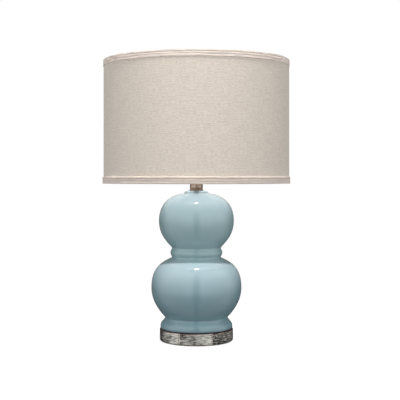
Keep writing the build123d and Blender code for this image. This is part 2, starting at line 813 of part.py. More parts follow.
with BuildPart() as harp_stud:
    with BuildSketch(Plane.XY.offset(stud_bottom_z - stud_head_thick)):
        Circle(stud_head_r)
    extrude(amount=stud_head_thick)
    fillet(harp_stud.edges().group_by(Axis.Z)[0], 0.5 * stud_head_thick)
    with BuildSketch(Plane.XY.offset(stud_bottom_z)):
        Circle(stud_shank_r)
    extrude(amount=stud_seat_z - stud_bottom_z)
    with BuildSketch(Plane.XY.offset(stud_seat_z)):
        Circle(stud_seat_r)
    extrude(amount=stud_seat_thick)
    with BuildSketch(Plane.XY.offset(hub_z)):
        Circle(stud_post_r)
    extrude(amount=stud_post_h)
    chamfer(harp_stud.edges().group_by(Axis.Z)[-1], 0.2 * stud_post_r)
harp_stud.part.label = "harp_stud"
export_step(harp_stud.part, "parts/harp_stud.step")

# ------------------------------------------------------------------ shade: wire frame
with BuildPart() as spider_frame:
    with BuildSketch(Plane.XY.offset(hub_z)):
        Circle(hub_r)
    extrude(amount=hub_thick)
    arm_z = hub_z + hub_thick / 2
    arm_start = stud_seat_r + hub_margin / 2
    for arm in range(spider_arms):
        turn = 90 + arm * 360 / spider_arms
        outward = Vector(cos(radians(turn)), sin(radians(turn)), 0)
        arm_plane = Plane(origin=(0, 0, 0), x_dir=outward, z_dir=outward.cross(Vector(0, 0, 1)))
        with BuildLine(arm_plane) as arm_line:
            FilletPolyline(
                (arm_start, arm_z),
                (arm_rise_r, arm_z),
                (arm_rise_r + arm_rise_run, top_ring_z),
                (ring_r, top_ring_z),
                radius=arm_bend_r,
            )
        with BuildSketch(Plane(origin=outward * arm_start + Vector(0, 0, arm_z), z_dir=outward)):
            Circle(arm_wire_r)
        sweep(path=arm_line.line)
    with BuildSketch(Plane.XZ):
        with Locations((ring_r, top_ring_z)):
            Circle(ring_wire_r)
    revolve(axis=Axis.Z)
    with BuildSketch(Plane.XY.offset(hub_z)):
        Circle(stud_post_r + hub_clearance)
    extrude(amount=hub_thick, mode=Mode.SUBTRACT)
spider_frame.part.label = "spider_frame"
export_step(spider_frame.part, "parts/spider_frame.step")

with BuildPart() as bottom_ring:
    with BuildSketch(Plane.XZ):
        with Locations((ring_r, bottom_ring_z)):
            Circle(ring_wire_r)
    revolve(axis=Axis.Z)
bottom_ring.part.label = "bottom_ring"
export_step(bottom_ring.part, "parts/bottom_ring.step")

# ------------------------------------------------------------------ shade: liner, linen and trims
with BuildPart() as shade_liner:
    with BuildSketch(Plane.XY.offset(wall_bottom_z)):
        Circle(liner_outer_r)
        Circle(liner_inner_r, mode=Mode.SUBTRACT)
    extrude(amount=wall_top_z - wall_bottom_z)
shade_liner.part.label = "shade_liner"
export_step(shade_liner.part, "parts/shade_liner.step")

lap_bottom_z = shade_bottom_h + trim_h
lap_top_z = shade_top_z - trim_h

with BuildPart() as shade_linen:
    with BuildSketch(Plane.XY.offset(wall_bottom_z)):
        Circle(shade_r)
        Circle(liner_outer_r, mode=Mode.SUBTRACT)
    extrude(amount=wall_top_z - wall_bottom_z)
    # the sewn lap of the cloth at the back
    with BuildSketch(Plane.XY.offset(lap_bottom_z)):
        Circle(shade_r + lap_thick)
        Circle(shade_r - linen_thick / 2, mode=Mode.SUBTRACT)
        with Locations((0, shade_r)):
            Rectangle(lap_width, lap_width, mode=Mode.INTERSECT)
    extrude(amount=lap_top_z - lap_bottom_z)
shade_linen.part.label = "shade_linen"
export_step(shade_linen.part, "parts/shade_linen.step")


def build_trim(name, edge_z, inward, proud, slits):
    """Make and write the folded tape round one edge of the shade.

    inward is +1 at the bottom edge and -1 at the top edge. The tape covers the outside, goes round the edge
    and hides the wire ring inside. Its free edge outside is rolled into a bead. slits is the number of cuts
    in the inner edge that let the spider's arms through.
    """
    leg = proud - trim_bead_r
    with BuildPart() as trim:
        with BuildSketch(Plane.XZ):
            with BuildLine():
                ring_inner_r = ring_r - ring_wire_r
                Polyline(
                    (ring_inner_r - trim_cloth, edge_z),
                    (shade_r + leg, edge_z),
                    (shade_r + leg, edge_z + inward * trim_h),
                    (shade_r, edge_z + inward * trim_h),
                    (shade_r, edge_z + inward * trim_cloth),
                    (ring_inner_r, edge_z + inward * trim_cloth),
                    (ring_inner_r, edge_z + inward * trim_inner_h),
                    (ring_inner_r - trim_cloth, edge_z + inward * trim_inner_h),
                    close=True,
                )
            make_face()
            with Locations((shade_r + leg, edge_z + inward * (trim_h - trim_bead_r))):
                Circle(trim_bead_r)
            with Locations(((liner_inner_r + shade_r) / 2, edge_z + inward * (trim_cloth + trim_h))):
                Rectangle(shade_r - liner_inner_r, 2 * trim_h, mode=Mode.SUBTRACT)
        revolve(axis=Axis.Z)
        if slits:
            with BuildSketch(Plane.XY.offset(edge_z - trim_inner_h)):
                with PolarLocations(ring_r - ring_wire_r, slits, start_angle=90):
                    Rectangle(4 * trim_cloth, 2 * (arm_wire_r + arm_slit_clearance))
            extrude(amount=trim_inner_h - trim_cloth, mode=Mode.SUBTRACT)
    trim.part.label = name
    export_step(trim.part, "parts/" + name + ".step")


build_trim("bottom_trim", shade_bottom_h, 1, bottom_trim_proud, 0)
build_trim("top_trim", shade_top_z, -1, top_trim_proud, spider_arms)

# ------------------------------------------------------------------ finial
with BuildPart() as finial:
    with BuildSketch(Plane.XZ):
        with BuildLine():
            top_z = finial_z + finial_h
            ball_z = top_z - finial_ball_r
            stem_top_z = ball_z - (finial_ball_r**2 - finial_stem_r**2) ** 0.5
            bore_r = stud_post_r + finial_thread_fit
            bore_top_z = hub_z + stud_post_h + finial_bore_spare
            Polyline(
                (bore_r, finial_z),
                (finial_base_r, finial_z),
                (finial_base_r, finial_z + finial_base_h),
                (finial_stem_r, finial_z + finial_base_h),
                (finial_stem_r, stem_top_z),
            )
            ThreePointArc((finial_stem_r, stem_top_z), (finial_ball_r, ball_z), (0, top_z))
            Polyline((0, top_z), (0, bore_top_z), (bore_r, bore_top_z), (bore_r, finial_z))
        make_face()
    revolve(axis=Axis.Z)
    base_rims = finial.edges().filter_by(
        lambda edge: edge.geom_type == GeomType.CIRCLE and abs(edge.radius - finial_base_r) < 0.01
    )
    fillet(base_rims, 0.25 * finial_base_h)
finial.part.label = "finial"
export_step(finial.part, "parts/finial.step")
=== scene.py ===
"""Looks of a double gourd table lamp: glazed body, silver-leafed base, linen drum shade and their hardware.

Sizes are held in millimetres in the classes and brought to metres when a mesh is made. The front is -Y.
"""
from __future__ import annotations

import logging
import math
from dataclasses import dataclass
from enum import Enum
from functools import partial
from typing import Callable, Iterable, Sequence

import bpy
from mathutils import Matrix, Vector, noise


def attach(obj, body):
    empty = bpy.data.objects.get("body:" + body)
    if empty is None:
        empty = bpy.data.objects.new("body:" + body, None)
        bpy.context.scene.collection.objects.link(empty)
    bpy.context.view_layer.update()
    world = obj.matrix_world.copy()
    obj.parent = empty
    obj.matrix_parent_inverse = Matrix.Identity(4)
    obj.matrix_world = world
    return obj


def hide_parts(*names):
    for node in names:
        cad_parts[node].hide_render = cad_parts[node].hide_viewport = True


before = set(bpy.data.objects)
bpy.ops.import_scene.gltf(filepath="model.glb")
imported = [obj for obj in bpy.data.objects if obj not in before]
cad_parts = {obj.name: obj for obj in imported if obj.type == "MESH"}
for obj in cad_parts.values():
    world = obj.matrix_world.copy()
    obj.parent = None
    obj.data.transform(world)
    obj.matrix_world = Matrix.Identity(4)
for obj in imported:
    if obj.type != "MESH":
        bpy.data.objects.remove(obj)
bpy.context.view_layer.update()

LOG = logging.getLogger("gourd_lamp")
MM = 0.001
TURN = 2 * math.pi
# edges sharper than this stay crisp on a turned piece
SHARP = math.radians(38)
# points this near to each other are one: along an outline, and where the turn closes
OUTLINE_WELD = 0.002 * MM
SEAM_WELD = 0.004 * MM
# a loop lies at a given height when it is this near to it
LEVEL_REACH = 0.003 * MM

Point = tuple[float, float]
Place = tuple[float, float, float]
Fullness = tuple[float, float, float]
Piece = bpy.types.Object
Material = bpy.types.Material
Tree = bpy.types.NodeTree
Node = bpy.types.Node
Socket = bpy.types.NodeSocket


# ---------------------------------------------------------------------------------------------- shaping
def clear_selection() -> None:
    """Leave edit mode and deselect every object."""
    if bpy.context.object and bpy.context.object.mode != "OBJECT":
        bpy.ops.object.mode_set(mode="OBJECT")
    bpy.ops.object.select_all(action="DESELECT")


def bezier(points: Sequence[Point], steps: int) -> list[Point]:
    """Sample a cubic curve.

    Args:
        points: four control points, each a radius and a height.
        steps: number of equal steps along the curve.

    Returns:
        steps + 1 points, both ends included.
    """
    a, b, c, d = (Vector(p) for p in points)
    samples = []
    for i in range(steps + 1):
        t = i / steps
        s = 1 - t
        p = a * s**3 + b * (3 * s * s * t) + c * (3 * s * t * t) + d * t**3
        samples.append((p.x, p.y))
    return samples


def arc(centre: Point, radius: float, start: float, end: float, steps: int) -> list[Point]:
    """Sample a circular arc.

    Args:
        centre: radius and height of the arc's centre.
        radius: the arc's own radius.
        start: first angle in degrees, 0 pointing away from the axis and 90 up.
        end: last angle in degrees.
        steps: number of equal steps.

    Returns:
        steps + 1 points, both ends included.
    """
    angles = (math.radians(start + (end - start) * i / steps) for i in range(steps + 1))
    return [(centre[0] + radius * math.cos(a), centre[1] + radius * math.sin(a)) for a in angles]


def turned(name: str, outline: Sequence[Point], segments: int) -> Piece:
    """Turn a closed outline round the Z axis into a solid ring, as on a lathe.

    Args:
        name: the new piece's name.
        outline: radius and height of each point, in millimetres.
        segments: steps in the full turn.

    Returns:
        The finished mesh object, smooth and with its normals outwards.
    """
    clear_selection()
    path = [*outline, outline[0]]
    start = Vector((path[0][0], 0, path[0][1])) * MM
    bpy.ops.mesh.primitive_plane_add(size=MM, location=start)
    piece = bpy.context.object
    piece.name = name
    bpy.ops.object.transform_apply(location=True, rotation=False, scale=False)
    bpy.ops.object.mode_set(mode="EDIT")
    bpy.ops.mesh.merge(type="CENTER")
    for here, there in zip(path, path[1:]):
        step = Vector((there[0] - here[0], 0, there[1] - here[1])) * MM
        bpy.ops.mesh.extrude_region_move(TRANSFORM_OT_translate={"value": step})
    bpy.ops.mesh.select_all(action="SELECT")
    bpy.ops.mesh.remove_doubles(threshold=OUTLINE_WELD)
    bpy.ops.mesh.select_all(action="SELECT")
    bpy.ops.mesh.spin(steps=segments, angle=TURN, center=(0, 0, 0), axis=(0, 0, 1), use_auto_merge=True)
    bpy.ops.mesh.select_all(action="SELECT")
    bpy.ops.mesh.remove_doubles(threshold=SEAM_WELD)
    bpy.ops.mesh.normals_make_consistent(inside=False)
    bpy.ops.object.mode_set(mode="OBJECT")
    bpy.ops.object.shade_smooth_by_angle(angle=SHARP)
    return piece


def bevel_rings(piece: Piece, heights: Iterable[float], width: float, steps: int = 4) -> None:
    """Round the edge loops that lie at given heights.

    Args:
        piece: a turned piece.
        heights: heights of the loops, in millimetres.
        width: width of the bevel, in millimetres.
        steps: segments across the bevel.
    """
    clear_selection()
    piece.select_set(True)
    bpy.context.view_layer.objects.active = piece
    mesh = piece.data
    levels = [h * MM for h in heights]
    for polygon in mesh.polygons:
        polygon.select = False
    for vertex in mesh.vertices:
        vertex.select = False
    for edge in mesh.edges:
        ends = [mesh.vertices[v].co.z for v in edge.vertices]
        edge.select = any(all(abs(z - level) < LEVEL_REACH for z in ends) for level in levels)
    bpy.ops.object.mode_set(mode="EDIT")
    bpy.ops.mesh.select_mode(type="EDGE")
    bpy.ops.mesh.bevel(offset=width * MM, segments=steps, profile=0.5, affect="EDGES", clamp_overlap=True)
    bpy.ops.mesh.select_mode(type="VERT")
    bpy.ops.object.mode_set(mode="OBJECT")


def move_points(piece: Piece, shift: Callable[[Vector], Vector]) -> None:
    """Move every point of a mesh by a formula of its place.

    Args:
        piece: the mesh object.
        shift: gives the new place, in metres, from the old one.
    """
    for vertex in piece.data.vertices:
        vertex.co = shift(vertex.co)
    piece.data.update()


def wrap_uv(piece: Piece, radius: float) -> None:
    """Give a turned piece a UV map in metres: arc length round the axis, and height.

    Args:
        piece: the mesh object.
        radius: radius at which the arc length is measured, in millimetres.
    """
    mesh = piece.data
    layer = mesh.uv_layers.new(name="wrap")
    for polygon in mesh.polygons:
        first = None
        for index in polygon.loop_indices:
            point = mesh.vertices[mesh.loops[index].vertex_index].co
            angle = math.atan2(point.x, -point.y)
            if first is None:
                first = angle
            elif angle - first > math.pi:
                angle -= TURN
            elif first - angle > math.pi:
                angle += TURN
            layer.data[index].uv = (angle * radius * MM, point.z)


def finish_piece(piece: Piece, body: str, material: Material, slot: str, *replaced: str) -> None:
    """Dress a piece, put it on its body and let it stand for CAD nodes.

    Args:
        piece: the mesh object.
        body: the CAD body that it rides on.
        material: its finish.
        slot: not used.
        replaced: CAD nodes that it stands for.
    """
    piece.data.materials.clear()
    piece.data.materials.append(material)
    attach(piece, body)
    if replaced:
        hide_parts(*replaced)
    LOG.info("piece %s rides on %s", piece.name, body)


# ---------------------------------------------------------------------------------------------- finishes
def linear(hex_colour: str) -> tuple[float, float, float, float]:
    """Turn an sRGB hex colour into linear values with alpha 1."""
    parts = [int(hex_colour[i : i + 2], 16) / 255 for i in (1, 3, 5)]
    flat = [p / 12.92 if p <= 0.04045 else ((p + 0.055) / 1.055) ** 2.4 for p in parts]
    return (flat[0], flat[1], flat[2], 1.0)


def add_node(tree: Tree, kind: str, settings: dict | None = None, links: dict | None = None) -> Node:
    """Add one shader node.

    Args:
        tree: the material's node tree.
        kind: the node's type name, without the ShaderNode prefix.
        settings: socket values by input name or number, and node properties by a name that starts with a dot.
        links: output sockets to link, by input name or number.

    Returns:
        The new node.
    """
    node = tree.nodes.new("ShaderNode" + kind)
    for key, value in (settings or {}).items():
        if isinstance(key, str) and key.startswith("."):
            setattr(node, key[1:], value)
        else:
            node.inputs[key].default_value = value
    for key, socket in (links or {}).items():
        tree.links.new(socket, node.inputs[key])
    return node


def new_material(name: str) -> tuple[Material, Tree, Node]:
    """Make an empty material with its output node.

    Args:
        name: the material's name.

    Returns:
        The material, its node tree and its output node.
    """
    material = bpy.data.materials.new(name)
    material.use_nodes = True
    tree = material.node_tree
    tree.nodes.clear()
    return material, tree, add_node(tree, "OutputMaterial")


def colour_ramp(tree: Tree, factor: Socket, stops: Sequence[tuple[float, str]]) -> Socket:
    """Add a colour ramp.

    Args:
        tree: the material's node tree.
        factor: the value that runs along the ramp.
        stops: positions and hex colours.

    Returns:
        The ramp's colour output.
    """
    ramp = add_node(tree, "ValToRGB", links={"Fac": factor})
    band = ramp.color_ramp
    while len(band.elements) < len(stops):
        band.elements.new(0.5)
    for element, (position, colour) in zip(band.elements, stops):
        element.position = position
        element.color = linear(colour)
    return ramp.outputs["Color"]


def maths(tree: Tree, operation: str, *terms: Socket | float) -> Socket:
    """Add one step of arithmetic, such as a product or the greater of two values.

    Args:
        tree: the node tree.
        operation: the Math node's operation.
        terms: numbers or output sockets, in the node's own order.

    Returns:
        The result.
    """
    settings: dict = {".operation": operation}
    links: dict = {}
    for place, term in enumerate(terms):
        (settings if isinstance(term, (int, float)) else links)[place] = term
    return add_node(tree, "Math", settings, links).outputs[0]


def cloud(tree: Tree, place: Socket, size_mm: float, detail: float, roughness: float = 0.5) -> Socket:
    """Add a noise pattern as large one way as another.

    Args:
        tree: the material's node tree.
        place: coordinates in metres.
        size_mm: size of one patch, in millimetres.
        detail: how many finer layers it has.
        roughness: how strong the finer layers are.

    Returns:
        The pattern's value, from 0 to 1.
    """
    settings = {"Scale": 1 / (size_mm * MM), "Detail": detail, "Roughness": roughness}
    return add_node(tree, "TexNoise", settings, {"Vector": place}).outputs["Fac"]


def streaks(
    tree: Tree, wrap: Socket, across_mm: float, up_mm: float, detail: float, twist: float = 0.0
) -> Socket:
    """Add a noise pattern drawn out along one axis of a UV map.

    Args:
        tree: the material's node tree.
        wrap: the UV map, in metres.
        across_mm: length of one streak round the axis, in millimetres.
        up_mm: its height, in millimetres.
        detail: how many finer layers it has.
        twist: how much the streaks bend into each other.

    Returns:
        The pattern's value, from 0 to 1.
    """
    scale = (1 / (across_mm * MM), 1 / (up_mm * MM), 1.0)
    drawn = add_node(tree, "Mapping", {"Scale": scale}, {"Vector": wrap}).outputs["Vector"]
    settings = {"Scale": 1.0, "Detail": detail, "Roughness": 0.6, "Distortion": twist}
    return add_node(tree, "TexNoise", settings, {"Vector": drawn}).outputs["Fac"]


def surface(
    tree: Tree,
    output: Node,
    settings: dict,
    links: dict,
    relief: tuple[Socket, float, float] | None = None,
) -> None:
    """Join a Principled surface to a material's output.

    Args:
        tree: the material's node tree.
        output: its output node.
        settings: the surface's input values.
        links: output sockets to link, by the surface's input name.
        relief: a height to bump the surface with, the bump's strength and its depth in millimetres.
    """
    joined = dict(links)
    if relief:
        height, strength, depth_mm = relief
        bump = add_node(tree, "Bump", {"Strength": strength, "Distance": depth_mm * MM}, {"Height": height})
        joined["Normal"] = bump.outputs["Normal"]
    shader = add_node(tree, "BsdfPrincipled", settings, joined)
    tree.links.new(shader.outputs["BSDF"], output.inputs["Surface"])


@dataclass(frozen=True)
class Glaze:
    """Glossy stoneware glaze, dipped and fired: a wet, glassy skin, with light and shade painted into its
    colour by height.
    """

    name: str = "blue_glaze"
    painted_shade: str = "#84a4ae"
    painted_light: str = "#9db1b8"
    # the waist's paler colour is painted light, lifting the shaded ring and the upper belly's underside
    waist: str = "#9bbac0"
    # heights in millimetres of the painted shade low on the lower belly and of the painted light on the
    # shoulders and round the waist; top is the whole ramp's height
    lower_painted_shade: float = 95.0
    lower_painted_light: float = 160.0
    waist_low: float = 168.0
    waist_high: float = 236.0
    upper_painted_light: float = 292.0
    top: float = 320.0
    mottle: float = 0.05
    mottle_mm: float = 38.0
    ripple: float = 0.06
    ripple_mm: float = 55.0
    ripple_depth_mm: float = 0.6
    roughness: float = 0.04
    # a stoneware glaze bends light a little more than window glass does
    ior: float = 1.6

    def material(self) -> Material:
        """Build the glaze on Object coordinates."""
        material, tree, output = new_material(self.name)
        place = add_node(tree, "TexCoord").outputs["Object"]
        height = add_node(tree, "SeparateXYZ", links={"Vector": place}).outputs["Z"]
        mottle = cloud(tree, place, self.mottle_mm, 3.0, 0.55)
        level = maths(tree, "MULTIPLY", height, 1 / (self.top * MM))
        drift = maths(tree, "MULTIPLY_ADD", mottle, self.mottle, level)
        # the ramp paints shade under the lower belly's widest part and light on both shoulders and round the
        # waist
        shades = [
            (self.lower_painted_shade, self.painted_shade),
            (self.lower_painted_light, self.painted_light),
            (self.waist_low, self.waist),
            (self.waist_high, self.waist),
            (self.upper_painted_light, self.painted_light),
        ]
        stops = [(z / self.top + self.mottle / 2, shade) for z, shade in shades]
        colour = colour_ramp(tree, drift, stops)
        relief = (cloud(tree, place, self.ripple_mm, 1.0), self.ripple, self.ripple_depth_mm)
        surface(tree, output, {"Roughness": self.roughness, "IOR": self.ior}, {"Base Color": colour}, relief)
        return material


@dataclass(frozen=True)
class SilverLeaf:
    """Silver leaf on red ground over turned wood, rubbed and sealed: cracked, patchy, soft shine."""

    name: str = "silver_leaf"
    bright: str = "#d0cdc6"
    mid: str = "#6e6b66"
    dark: str = "#332f2b"
    ground: str = "#5a2f2c"
    sheet_mm: float = 68.0
    sheet_start_mm: float = -35.5
    joint_mm: float = 1.3
    crease_mm: float = 1.7
    patch_mm: float = 24.0
    top_mm: float = 25.4
    rim_mm: float = 0.9
    # how far a crease tears the sheet's edge, how sharp a fold is, and how many joints wide the edge curls
    tear: float = 0.05
    fold_edge: float = 25.0
    curl_joints: float = 2.2
    # each sheet has its own tone; this step in degrees keeps neighbours unlike
    tone_step: float = 106.0
    tone_start: float = 127.0
    # what each layer adds to the leaf's brightness
    patch_share: float = 0.6
    tone_share: float = 0.22
    slope_share: float = 0.26
    slope_start: float = -0.15
    crease_share: float = 1.7
    # the folds' bright lips and the sheets' curled edges are painted highlights
    fold_highlight_share: float = 0.4
    curl_highlight_share: float = 0.3
    # a dull sheet is this much crumpled, a bright one less
    crumpled: float = 1.1
    smoothed: float = 0.7
    dark_at: float = 0.27
    mid_at: float = 0.42
    bright_at: float = 0.61
    bared: float = 0.8
    # sealed leaf is part metal, part varnish
    metallic: float = 0.7
    polished: float = 0.28
    rubbed: float = 0.55
    relief: float = 0.5
    relief_mm: float = 0.4

    def material(self) -> Material:
        """Build the leaf, whose sheets follow the UV map round the rim."""
        material, tree, output = new_material(self.name)
        wrap = add_node(tree, "UVMap", {".uv_map": "wrap"}).outputs["UV"]
        axes = add_node(tree, "SeparateXYZ", links={"Vector": wrap})
        work = partial(maths, tree)
        # sheets: the whole number of the arc length over the sheet's width, with a slightly torn edge
        start = -self.sheet_start_mm / self.sheet_mm
        along = work("MULTIPLY_ADD", axes.outputs["X"], 1 / (self.sheet_mm * MM), start)
        crease = streaks(tree, wrap, 7.0 * self.crease_mm, self.crease_mm, 2.0, 0.3)
        along = work("MULTIPLY_ADD", crease, self.tear, along)
        within = work("FRACT", along)
        step, first = math.radians(self.tone_step), math.radians(self.tone_start)
        turn = work("MULTIPLY_ADD", work("FLOOR", along), step, first)
        tone = work("MULTIPLY_ADD", work("SINE", turn), 0.5, 0.5)
        # folds lie flat round the rim, each with a thin painted highlight along it
        folds = streaks(tree, wrap, 9.0 * self.crease_mm, 1.5 * self.crease_mm, 2.0, 0.8)
        fold = work("ABSOLUTE", work("SUBTRACT", folds, 0.5))
        lip = work("SUBTRACT", 1.0, work("MINIMUM", work("MULTIPLY", fold, self.fold_edge), 1.0))
        patch = streaks(tree, wrap, self.patch_mm, 0.6 * self.patch_mm, 2.0)
        crumple = work("MULTIPLY_ADD", tone, -self.smoothed, self.crumpled)
        # a sheet is dull where it starts and bright where the next one laps over it
        slope = work("MULTIPLY_ADD", within, self.slope_share, self.slope_start)
        toned = work("MULTIPLY_ADD", tone, self.tone_share, slope)
        ground = work("MULTIPLY_ADD", patch, self.patch_share, toned)
        fold_highlights = work("MULTIPLY", lip, self.fold_highlight_share)
        waves = work("MULTIPLY_ADD", work("SUBTRACT", crease, 0.5), self.crease_share, fold_highlights)
        # each sheet's curled edge gets a painted highlight
        curl = work("LESS_THAN", within, self.curl_joints * self.joint_mm / self.sheet_mm)
        lined = work("MULTIPLY_ADD", waves, crumple, work("MULTIPLY_ADD", curl, self.curl_highlight_share, ground))
        stops = [(self.dark_at, self.dark), (self.mid_at, self.mid), (self.bright_at, self.bright)]
        leaf = colour_ramp(tree, lined, stops)
        # the ground shows in a hairline where two sheets meet and round the rubbed rim
        joint = work("LESS_THAN", within, self.joint_mm / self.sheet_mm)
        rim = work("GREATER_THAN", axes.outputs["Y"], (self.top_mm - self.rim_mm) * MM)
        bare = work("MULTIPLY", work("MAXIMUM", joint, rim), self.bared)
        painted = {".data_type": "RGBA", "B": linear(self.ground)}
        colour = add_node(tree, "Mix", painted, {"Factor": bare, "A": leaf}).outputs["Result"]
        sheen = {"To Min": self.polished, "To Max": self.rubbed}
        rough = add_node(tree, "MapRange", sheen, {"Value": patch}).outputs["Result"]
        links = {"Base Color": colour, "Roughness": rough}
        surface(tree, output, {"Metallic": self.metallic}, links, (lined, self.relief, self.relief_mm))
        return material


@dataclass(frozen=True)
class Linen:
    """Oatmeal slub linen, plain woven: uneven weft yarns lie across as short thick and thin dashes."""

    name: str = "slub_linen"
    light: str = "#e4dbd0"
    dark: str = "#c3b9ad"
    # real threads lie 0.5 mm apart; the weft is drawn nearly three times as coarse and the warp over four
    # times, so that they show
    weft_mm: float = 1.35
    dash_mm: float = 6.5
    slub_mm: float = 34.0
    warp_mm: float = 2.2
    slub_share: float = 0.5
    warp_share: float = 0.16
    dark_at: float = 0.5
    light_at: float = 1.0
    bump: float = 0.5
    bump_mm: float = 0.3

    def material(self) -> Material:
        """Build the cloth on the piece's UV map, which is in metres."""
        material, tree, output = new_material(self.name)
        wrap = add_node(tree, "UVMap", {".uv_map": "wrap"}).outputs["UV"]
        weft = streaks(tree, wrap, self.dash_mm, self.weft_mm, 2.0)
        slub = streaks(tree, wrap, self.slub_mm, self.weft_mm, 1.0)
        warp = streaks(tree, wrap, self.warp_mm, 2.5 * self.dash_mm, 1.0)
        weave = maths(tree, "MULTIPLY_ADD", slub, self.slub_share, weft)
        weave = maths(tree, "MULTIPLY_ADD", warp, self.warp_share, weave)
        colour = colour_ramp(tree, weave, [(self.dark_at, self.dark), (self.light_at, self.light)])
        settings = {"Roughness": 0.9, "Specular IOR Level": 0.2, "Sheen Weight": 0.15, "Sheen Roughness": 0.5}
        surface(tree, output, settings, {"Base Color": colour}, (weave, self.bump, self.bump_mm))
        return material


@dataclass(frozen=True)
class Plated:
    """Metal piece with a fine brushed or polished plate: a narrow range of tone and long soft highlights."""

    name: str
    light: str
    dark: str
    roughness: float
    grain_mm: float = 6.0
    # real polishing lines are finer than this, which is as fine as a close view still shows
    scratch_mm: float = 0.25
    # scratches lie level: the pattern is drawn out along X and Y by this scale
    scratch_run: float = 0.08
    bump: float = 0.12
    bump_mm: float = 0.05

    def material(self) -> Material:
        """Build the plated metal on Object coordinates."""
        material, tree, output = new_material(self.name)
        place = add_node(tree, "TexCoord").outputs["Object"]
        tone = cloud(tree, place, self.grain_mm, 3.0, 0.6)
        colour = colour_ramp(tree, tone, [(0.35, self.dark), (0.65, self.light)])
        run = (self.scratch_run, self.scratch_run, 1.0)
        flat = add_node(tree, "Mapping", {"Scale": run}, {"Vector": place}).outputs["Vector"]
        relief = (cloud(tree, flat, self.scratch_mm, 2.0), self.bump, self.bump_mm)
        surface(tree, output, {"Metallic": 1.0, "Roughness": self.roughness}, {"Base Color": colour}, relief)
        return material


@dataclass(frozen=True)
class Moulded:
    """Moulded or pressed non-metal, such as phenolic, styrene, rubber or fibre: even, with a faint grain."""

    name: str
    colour: str
    shade: str
    roughness: float
    grain_mm: float = 1.2
    bump: float = 0.1
    bump_mm: float = 0.1
    specular: float = 0.5

    def material(self) -> Material:
        """Build the moulded material on Object coordinates."""
        material, tree, output = new_material(self.name)
        place = add_node(tree, "TexCoord").outputs["Object"]
        grain = cloud(tree, place, self.grain_mm, 4.0, 0.6)
        colour = colour_ramp(tree, grain, [(0.3, self.shade), (0.7, self.colour)])
        settings = {"Roughness": self.roughness, "Specular IOR Level": self.specular}
        surface(tree, output, settings, {"Base Color": colour}, (grain, self.bump, self.bump_mm))
        return material


@dataclass(frozen=True)
class FrostedGlass:
    """Blown glass, frosted white inside: milky, with the smooth outer skin still glossy."""

    name: str = "frosted_glass"
    colour: str = "#f1efe9"
    shade: str = "#e6e3dc"
    frost_mm: float = 14.0
    roughness: float = 0.18
    clear: float = 0.25
    ior: float = 1.5

    def material(self) -> Material:
        """Build the frosted glass."""
        material, tree, output = new_material(self.name)
        place = add_node(tree, "TexCoord").outputs["Object"]
        frost = cloud(tree, place, self.frost_mm, 2.0)
        colour = colour_ramp(tree, frost, [(0.3, self.shade), (0.7, self.colour)])
        settings = {"Roughness": self.roughness, "Transmission Weight": self.clear, "IOR": self.ior}
        surface(tree, output, settings, {"Base Color": colour})
        return material


class Finish(Enum):
    """The finishes that the small hardware can take."""

    ANTIQUE_SILVER = Plated("antique_silver", "#bea797", "#7d6c5f", 0.24)
    BRIGHT_STEEL = Plated("zinc_plated_steel", "#b4b3ae", "#94928c", 0.32)
    WHITE_WIRE = Moulded("painted_wire", "#dedcd6", "#d2cfc8", 0.4)
    BRASS = Plated("plain_brass", "#c9a35a", "#a8843f", 0.28)
    ALUMINIUM = Plated("spun_aluminium", "#c9c9c7", "#afafad", 0.3)
    PHENOLIC = Moulded("black_phenolic", "#17161a", "#0d0c0e", 0.35)
    FIBRE = Moulded("fibre_paper", "#9a7f5c", "#856b49", 0.85, grain_mm=0.8, bump=0.3)
    RUBBER = Moulded("dark_rubber", "#2c2926", "#1f1d1b", 0.7)
    # the seat's dark colour is partly painted shade: a real pad, darkened to fill the joint line under the
    # body
    SEAT = Moulded("seat_cork_joint_shade", "#3a2620", "#241512", 0.9, grain_mm=1.5, bump=0.4, specular=0.2)
    WHITE_NYLON = Moulded("white_nylon", "#e4e2dc", "#d6d3cc", 0.45)
    STYRENE = Moulded("white_styrene", "#e6e3dd", "#dedad3", 0.55, grain_mm=3.0)
    FROSTED_GLASS = FrostedGlass()

    def dressed(self) -> Material:
        """Return the material, built once."""
        known = bpy.data.materials.get(self.value.name)
        return known or self.value.material()


